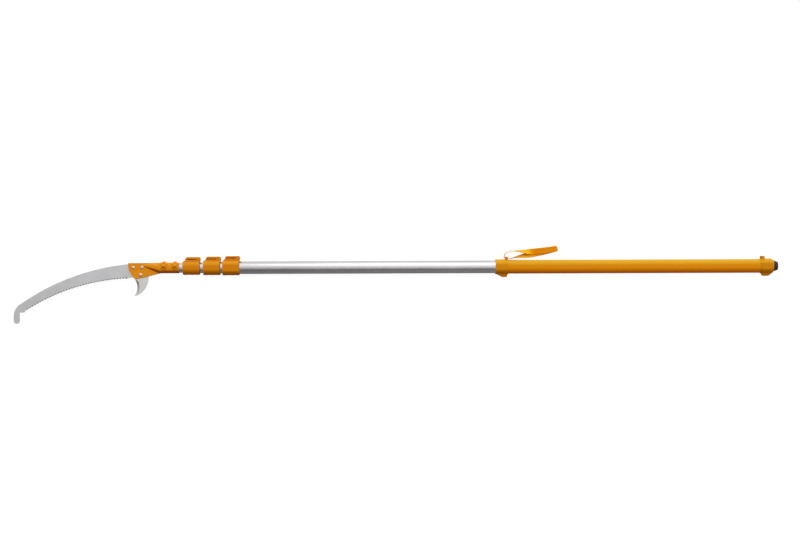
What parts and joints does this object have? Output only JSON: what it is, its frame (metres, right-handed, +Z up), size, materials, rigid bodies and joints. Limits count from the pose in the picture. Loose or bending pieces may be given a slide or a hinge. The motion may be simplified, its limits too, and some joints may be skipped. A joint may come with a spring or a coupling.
{
  "type": "telescoping pole saw",
  "caption": "Telescoping pole saw: a curved toothed blade with a tip hook and an under-hook on nested oval poles locked by cam-lever collars, with sleeve grip, wrist strap and rubber foot.",
  "frame": {"origin": "centre of the closed tool's box, on the surface that the tool lies on; the pole axis is 56.05 mm towards +Y and 20 mm up", "axes": "+X along the poles from the blade tip to the rubber foot; +Y across, to the side of the levers and strap; +Z up, square to the blade's flat"},
  "size_m": [2.5054, 0.2512, 0.04],
  "materials": {
    "saw_steel": "ground and polished",
    "hook_steel": "satin, ground bevel",
    "bracket_enamel": "orange enamel",
    "bolt_steel": "zinc plated",
    "bolt_orange": "orange enamel",
    "pole_alloy": "satin anodised",
    "collar_plastic": "glossy moulded",
    "grip_plastic": "glossy sleeve",
    "nylon": "natural nylon",
    "pad_rubber": "friction pad",
    "foot_rubber": "matt moulded",
    "webbing": "woven webbing"
  },
  "bodies": {
    "outer_section": {"outer_pole": "pole_alloy", "outer_collar": "collar_plastic", "outer_liner": "nylon", "outer_lever_pin": "bolt_steel", "outer_collar_screws": "bolt_steel", "outer_stop_rivets": "pole_alloy", "grip_sleeve": "grip_plastic", "front_fitting": "collar_plastic", "front_fitting_screws": "bolt_steel", "rear_cap": "collar_plastic", "rear_cap_screws": "bolt_steel", "butt_plug": "nylon", "rubber_foot": "foot_rubber", "wrist_strap": "webbing"},
    "third_section": {"third_pole": "pole_alloy", "third_bush": "nylon", "middle_collar": "collar_plastic", "middle_liner": "nylon", "middle_lever_pin": "bolt_steel", "middle_collar_screws": "bolt_steel", "third_stop_rivets": "pole_alloy"},
    "second_section": {"second_pole": "pole_alloy", "second_bush": "nylon", "inner_collar": "collar_plastic", "inner_liner": "nylon", "inner_lever_pin": "bolt_steel", "inner_collar_screws": "bolt_steel", "second_stop_rivets": "pole_alloy"},
    "inner_section": {"inner_pole": "pole_alloy", "inner_bush": "nylon", "head_insert": "nylon", "bracket_front": "bracket_enamel", "bracket_rear": "bracket_enamel", "blade": "saw_steel", "sickle": "hook_steel", "blade_bolts": "bolt_steel", "blade_washers": "bolt_steel", "blade_nuts": "bolt_steel", "clamp_bolts": "bolt_orange", "clamp_nuts": "bolt_steel"},
    "outer_lever": {"outer_lever": "collar_plastic"},
    "middle_lever": {"middle_lever": "collar_plastic"},
    "inner_lever": {"inner_lever": "collar_plastic"},
    "outer_pad": {"outer_pad": "pad_rubber"},
    "middle_pad": {"middle_pad": "pad_rubber"},
    "inner_pad": {"inner_pad": "pad_rubber"}
  },
  "joints": [
    {"name": "third_slide", "type": "slide", "parent": "outer_section", "child": "third_section", "axis": [-1, 0, 0], "range_m": [0, 1.27]},
    {"name": "second_slide", "type": "slide", "parent": "third_section", "child": "second_section", "axis": [-1, 0, 0], "range_m": [0, 1.27]},
    {"name": "inner_slide", "type": "slide", "parent": "second_section", "child": "inner_section", "axis": [-1, 0, 0], "range_m": [0, 1.27]},
    {"name": "outer_lever_turn", "type": "hinge", "parent": "outer_section", "child": "outer_lever", "pos_m": [-0.51645, 0.08825, 0.02], "axis": [0, 0, -1], "range_deg": [0, 110]},
    {"name": "middle_lever_turn", "type": "hinge", "parent": "third_section", "child": "middle_lever", "pos_m": [-0.57945, 0.08665, 0.02], "axis": [0, 0, -1], "range_deg": [0, 110]},
    {"name": "inner_lever_turn", "type": "hinge", "parent": "second_section", "child": "inner_lever", "pos_m": [-0.64645, 0.08535, 0.02], "axis": [0, 0, -1], "range_deg": [0, 110]},
    {"name": "outer_pad_slide", "type": "slide", "parent": "outer_section", "child": "outer_pad", "axis": [0, 1, 0], "range_m": [0, 0.0008]},
    {"name": "middle_pad_slide", "type": "slide", "parent": "third_section", "child": "middle_pad", "axis": [0, 1, 0], "range_m": [0, 0.0008]},
    {"name": "inner_pad_slide", "type": "slide", "parent": "second_section", "child": "inner_pad", "axis": [0, 1, 0], "range_m": [0, 0.0008]}
  ],
  "couplings": [
    {"joint": "outer_pad_slide", "follows": "outer_lever_turn", "m_per_rad": 0.0004},
    {"joint": "middle_pad_slide", "follows": "middle_lever_turn", "m_per_rad": 0.0004},
    {"joint": "inner_pad_slide", "follows": "inner_lever_turn", "m_per_rad": 0.0004}
  ]
}
